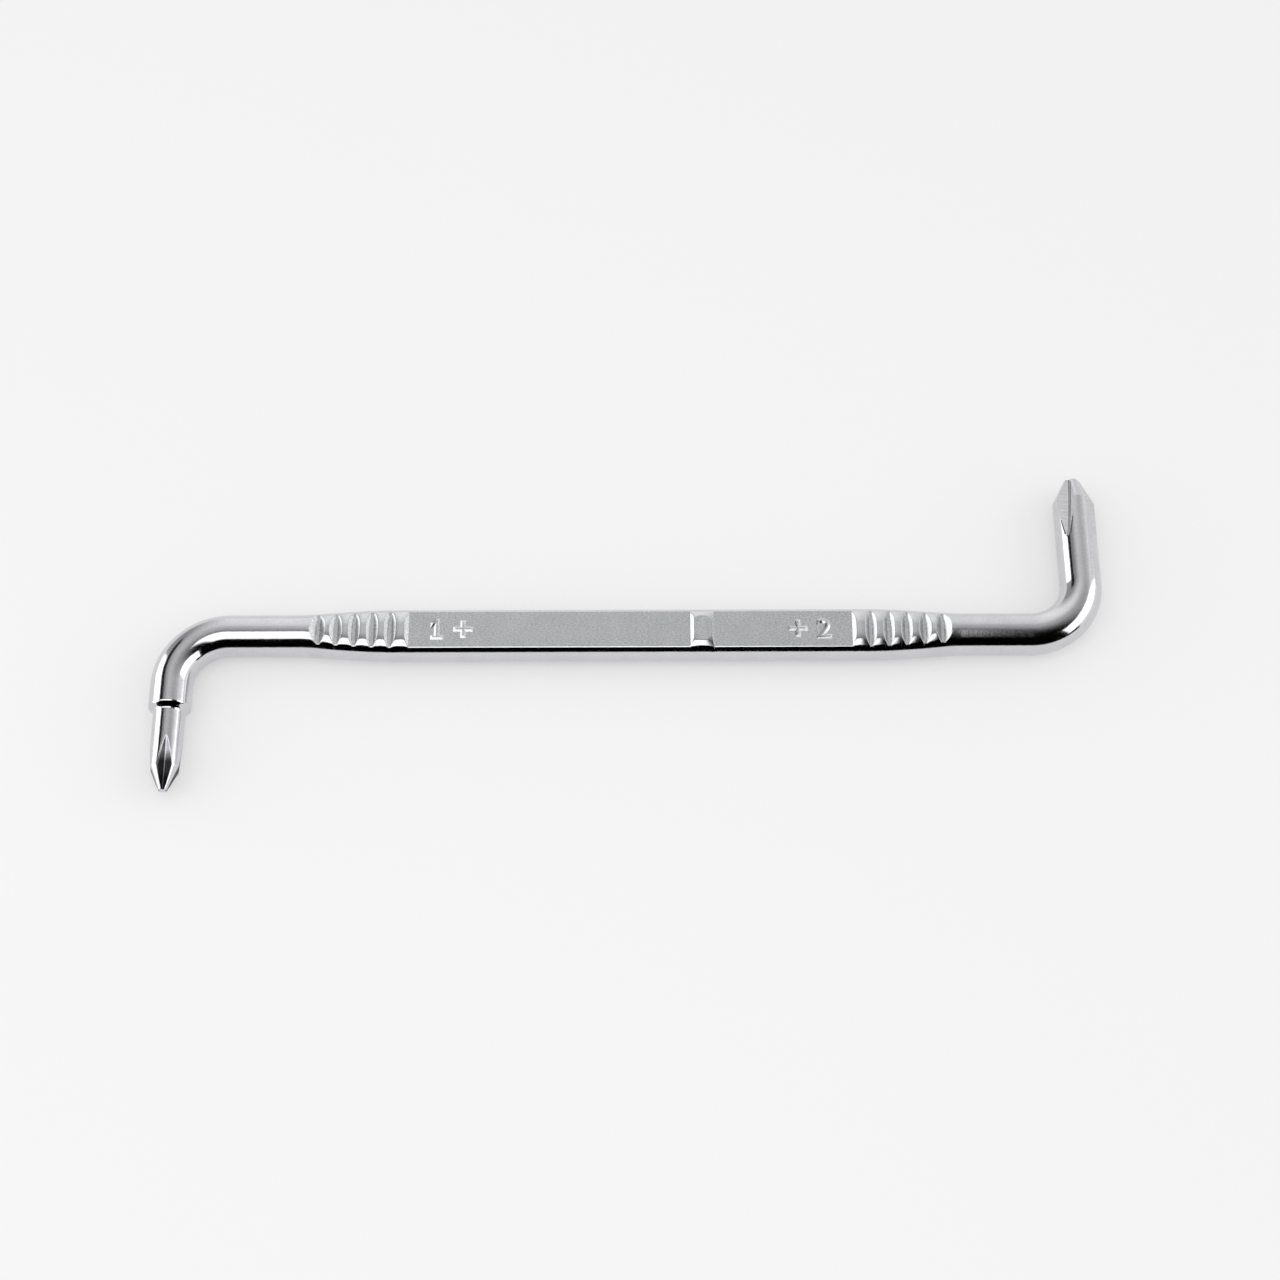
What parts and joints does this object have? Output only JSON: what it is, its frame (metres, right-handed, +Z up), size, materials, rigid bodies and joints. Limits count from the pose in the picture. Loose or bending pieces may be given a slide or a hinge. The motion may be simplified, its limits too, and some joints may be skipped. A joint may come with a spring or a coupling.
{
  "type": "offset screwdriver",
  "caption": "Double-ended offset screwdriver: a flattened, fluted bar bent at both ends, with a stepped size 1 cross tip at one end and a size 2 cross tip at the other.",
  "frame": {"origin": "on the surface that the tool lies on, midway along the bar and midway between the ends of the two tips", "axes": "+X along the bar towards the size 2 end, +Y the way the size 2 blade points, +Z up, square to the plane of the two bends"},
  "size_m": [0.1348, 0.049, 0.006],
  "materials": {
    "grip_chrome": "satin chrome plate on the pressed faces, bright on the rounded sides",
    "bright_chrome": "bright chrome plate"
  },
  "bodies": {
    "root": {"grip": "grip_chrome", "size1_shank": "bright_chrome", "size1_blade": "bright_chrome", "size2_shank": "bright_chrome", "size2_blade": "bright_chrome"}
  },
  "joints": []
}
